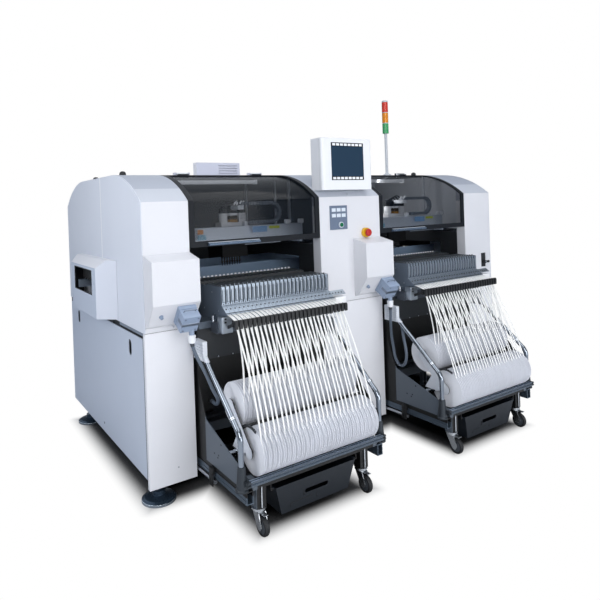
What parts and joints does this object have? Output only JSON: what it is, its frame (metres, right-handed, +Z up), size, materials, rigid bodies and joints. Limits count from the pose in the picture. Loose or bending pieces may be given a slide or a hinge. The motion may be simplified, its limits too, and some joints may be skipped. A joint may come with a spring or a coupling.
{
  "type": "pick and place machine",
  "caption": "Floor-standing pick and place machine with gantry heads over a board conveyor, smoked lift-up covers and docked feeder carts carrying tape reels.",
  "frame": {"origin": "middle of the outline, on the floor", "axes": "+X along the board path to the right seen from the front, +Y to the rear, +Z up"},
  "size_m": [2.49, 1.724, 1.9303],
  "materials": {
    "base_casting": "matt dark paint",
    "foot_iron": "matt",
    "side_paint": "satin, cool white",
    "cover_paint": "satin white",
    "cap_plastic": "matt",
    "conveyor_metal": "anodised",
    "guide_steel": "ground",
    "housing_plastic": "fine grain",
    "screen_panel": "gloss",
    "key_plastic": "matt",
    "start_green": "gloss",
    "stop_red": "gloss",
    "tower_plastic": "gloss",
    "connector_metal": "painted casting",
    "frame_black": "satin black",
    "smoked_window": "smoked, clear",
    "beam_metal": "anodised",
    "head_paint": "satin",
    "nozzle_steel": "dark",
    "cart_paint": "satin dark grey",
    "handle_chrome": "polished",
    "feeder_metal": "anodised",
    "tray_paint": "satin black",
    "reel_plastic": "translucent white",
    "tape_paper": "matt",
    "bin_plastic": "fine grain",
    "wheel_rubber": "matt",
    "cable_rubber": "matt",
    "fork_zinc": "zinc plated"
  },
  "bodies": {
    "machine": {"base_frame": "base_casting", "levelling_feet": "foot_iron", "lower_side_panels": "side_paint", "upper_side_covers": "side_paint", "conveyor_hoods": "cover_paint", "lower_column_covers": "cover_paint", "upper_column_covers": "cover_paint", "roof_cover": "cover_paint", "eyebolt_caps": "cap_plastic", "rear_panels": "side_paint", "conveyor_fixed_rails": "conveyor_metal", "gantry_rails": "guide_steel", "monitor_housing": "housing_plastic", "monitor_screen": "screen_panel", "control_panel": "key_plastic", "signal_tower": "tower_plastic", "cart_sockets": "connector_metal"},
    "width_rail": {"conveyor_moving_rail": "conveyor_metal"},
    "start_key": {"start_button": "start_green"},
    "stop_key": {"estop_button": "stop_red"},
    "front_cover_l": {"front_cover_frame_l": "frame_black", "front_cover_window_l": "smoked_window"},
    "gantry_beam_l": {"beam_l": "beam_metal"},
    "gantry_head_l": {"head_l": "head_paint"},
    "nozzle_set_l": {"nozzles_l": "nozzle_steel"},
    "cart_l": {"cart_frame_l": "cart_paint", "handle_rails_l": "handle_chrome", "feeders_l": "feeder_metal", "reel_tray_l": "tray_paint", "tapes_l": "tape_paper", "cable_l": "cable_rubber", "plug_l": "connector_metal"},
    "reels_front_l": {"front_reels_l": "reel_plastic"},
    "reels_rear_l": {"rear_reels_l": "reel_plastic"},
    "bin_l": {"waste_bin_l": "bin_plastic"},
    "rear_rollers_l": {"rear_wheels_l": "wheel_rubber"},
    "swivel_ll": {"caster_fork_ll": "fork_zinc"},
    "roller_ll": {"caster_wheel_ll": "wheel_rubber"},
    "swivel_lr": {"caster_fork_lr": "fork_zinc"},
    "roller_lr": {"caster_wheel_lr": "wheel_rubber"},
    "front_cover_r": {"front_cover_frame_r": "frame_black", "front_cover_window_r": "smoked_window"},
    "gantry_beam_r": {"beam_r": "beam_metal"},
    "gantry_head_r": {"head_r": "head_paint"},
    "nozzle_set_r": {"nozzles_r": "nozzle_steel"},
    "cart_r": {"cart_frame_r": "cart_paint", "handle_rails_r": "handle_chrome", "feeders_r": "feeder_metal", "reel_tray_r": "tray_paint", "tapes_r": "tape_paper", "cable_r": "cable_rubber", "plug_r": "connector_metal"},
    "reels_front_r": {"front_reels_r": "reel_plastic"},
    "reels_rear_r": {"rear_reels_r": "reel_plastic"},
    "bin_r": {"waste_bin_r": "bin_plastic"},
    "rear_rollers_r": {"rear_wheels_r": "wheel_rubber"},
    "swivel_rl": {"caster_fork_rl": "fork_zinc"},
    "roller_rl": {"caster_wheel_rl": "wheel_rubber"},
    "swivel_rr": {"caster_fork_rr": "fork_zinc"},
    "roller_rr": {"caster_wheel_rr": "wheel_rubber"}
  },
  "joints": [
    {"name": "width_adjust", "type": "slide", "parent": "machine", "child": "width_rail", "axis": [0, 1, 0], "range_m": [-0.19, 0.02]},
    {"name": "start_press", "type": "slide", "parent": "machine", "child": "start_key", "axis": [0, 1, 0], "range_m": [0, 0.004], "stiffness_N_per_m": 500},
    {"name": "stop_press", "type": "slide", "parent": "machine", "child": "stop_key", "axis": [0, 1, 0], "range_m": [0, 0.005], "stiffness_N_per_m": 900},
    {"name": "cover_l_lift", "type": "hinge", "parent": "machine", "child": "front_cover_l", "pos_m": [-0.5865, -0.035, 1.438], "axis": [-1, 0, 0], "range_deg": [0, 75]},
    {"name": "beam_l_travel", "type": "slide", "parent": "machine", "child": "gantry_beam_l", "axis": [0, 1, 0], "range_m": [-0.08, 0.5]},
    {"name": "head_l_travel", "type": "slide", "parent": "gantry_beam_l", "child": "gantry_head_l", "axis": [1, 0, 0], "range_m": [-0.29, 0.22]},
    {"name": "nozzles_l_lower", "type": "slide", "parent": "gantry_head_l", "child": "nozzle_set_l", "axis": [0, 0, -1], "range_m": [0, 0.03]},
    {"name": "cart_l_roll_out", "type": "slide", "parent": "machine", "child": "cart_l", "axis": [0, -1, 0], "range_m": [0, 0.9]},
    {"name": "reels_front_l_turn", "type": "hinge", "parent": "cart_l", "child": "reels_front_l", "pos_m": [-0.584, -0.773, 0.316], "axis": [1, 0, 0], "continuous": true},
    {"name": "reels_rear_l_turn", "type": "hinge", "parent": "cart_l", "child": "reels_rear_l", "pos_m": [-0.584, -0.638, 0.46], "axis": [1, 0, 0], "continuous": true},
    {"name": "bin_l_pull", "type": "slide", "parent": "cart_l", "child": "bin_l", "axis": [0, -1, 0], "range_m": [0, 0.22]},
    {"name": "rear_rollers_l_turn", "type": "hinge", "parent": "cart_l", "child": "rear_rollers_l", "pos_m": [-0.584, -0.113, 0.0375], "axis": [1, 0, 0], "continuous": true},
    {"name": "swivel_ll_turn", "type": "hinge", "parent": "cart_l", "child": "swivel_ll", "pos_m": [-0.864, -0.779, 0.1], "axis": [0, 0, 1], "continuous": true},
    {"name": "roller_ll_turn", "type": "hinge", "parent": "swivel_ll", "child": "roller_ll", "pos_m": [-0.864, -0.806, 0.0375], "axis": [1, 0, 0], "continuous": true},
    {"name": "swivel_lr_turn", "type": "hinge", "parent": "cart_l", "child": "swivel_lr", "pos_m": [-0.333, -0.779, 0.1], "axis": [0, 0, 1], "continuous": true},
    {"name": "roller_lr_turn", "type": "hinge", "parent": "swivel_lr", "child": "roller_lr", "pos_m": [-0.333, -0.806, 0.0375], "axis": [1, 0, 0], "continuous": true},
    {"name": "cover_r_lift", "type": "hinge", "parent": "machine", "child": "front_cover_r", "pos_m": [0.5545, -0.035, 1.438], "axis": [-1, 0, 0], "range_deg": [0, 75]},
    {"name": "beam_r_travel", "type": "slide", "parent": "machine", "child": "gantry_beam_r", "axis": [0, 1, 0], "range_m": [-0.08, 0.5]},
    {"name": "head_r_travel", "type": "slide", "parent": "gantry_beam_r", "child": "gantry_head_r", "axis": [1, 0, 0], "range_m": [-0.34, 0.18]},
    {"name": "nozzles_r_lower", "type": "slide", "parent": "gantry_head_r", "child": "nozzle_set_r", "axis": [0, 0, -1], "range_m": [0, 0.03]},
    {"name": "cart_r_roll_out", "type": "slide", "parent": "machine", "child": "cart_r", "axis": [0, -1, 0], "range_m": [0, 0.9]},
    {"name": "reels_front_r_turn", "type": "hinge", "parent": "cart_r", "child": "reels_front_r", "pos_m": [0.557, -0.773, 0.316], "axis": [1, 0, 0], "continuous": true},
    {"name": "reels_rear_r_turn", "type": "hinge", "parent": "cart_r", "child": "reels_rear_r", "pos_m": [0.557, -0.638, 0.46], "axis": [1, 0, 0], "continuous": true},
    {"name": "bin_r_pull", "type": "slide", "parent": "cart_r", "child": "bin_r", "axis": [0, -1, 0], "range_m": [0, 0.22]},
    {"name": "rear_rollers_r_turn", "type": "hinge", "parent": "cart_r", "child": "rear_rollers_r", "pos_m": [0.557, -0.113, 0.0375], "axis": [1, 0, 0], "continuous": true},
    {"name": "swivel_rl_turn", "type": "hinge", "parent": "cart_r", "child": "swivel_rl", "pos_m": [0.277, -0.779, 0.1], "axis": [0, 0, 1], "continuous": true},
    {"name": "roller_rl_turn", "type": "hinge", "parent": "swivel_rl", "child": "roller_rl", "pos_m": [0.277, -0.806, 0.0375], "axis": [1, 0, 0], "continuous": true},
    {"name": "swivel_rr_turn", "type": "hinge", "parent": "cart_r", "child": "swivel_rr", "pos_m": [0.808, -0.779, 0.1], "axis": [0, 0, 1], "continuous": true},
    {"name": "roller_rr_turn", "type": "hinge", "parent": "swivel_rr", "child": "roller_rr", "pos_m": [0.808, -0.806, 0.0375], "axis": [1, 0, 0], "continuous": true}
  ]
}
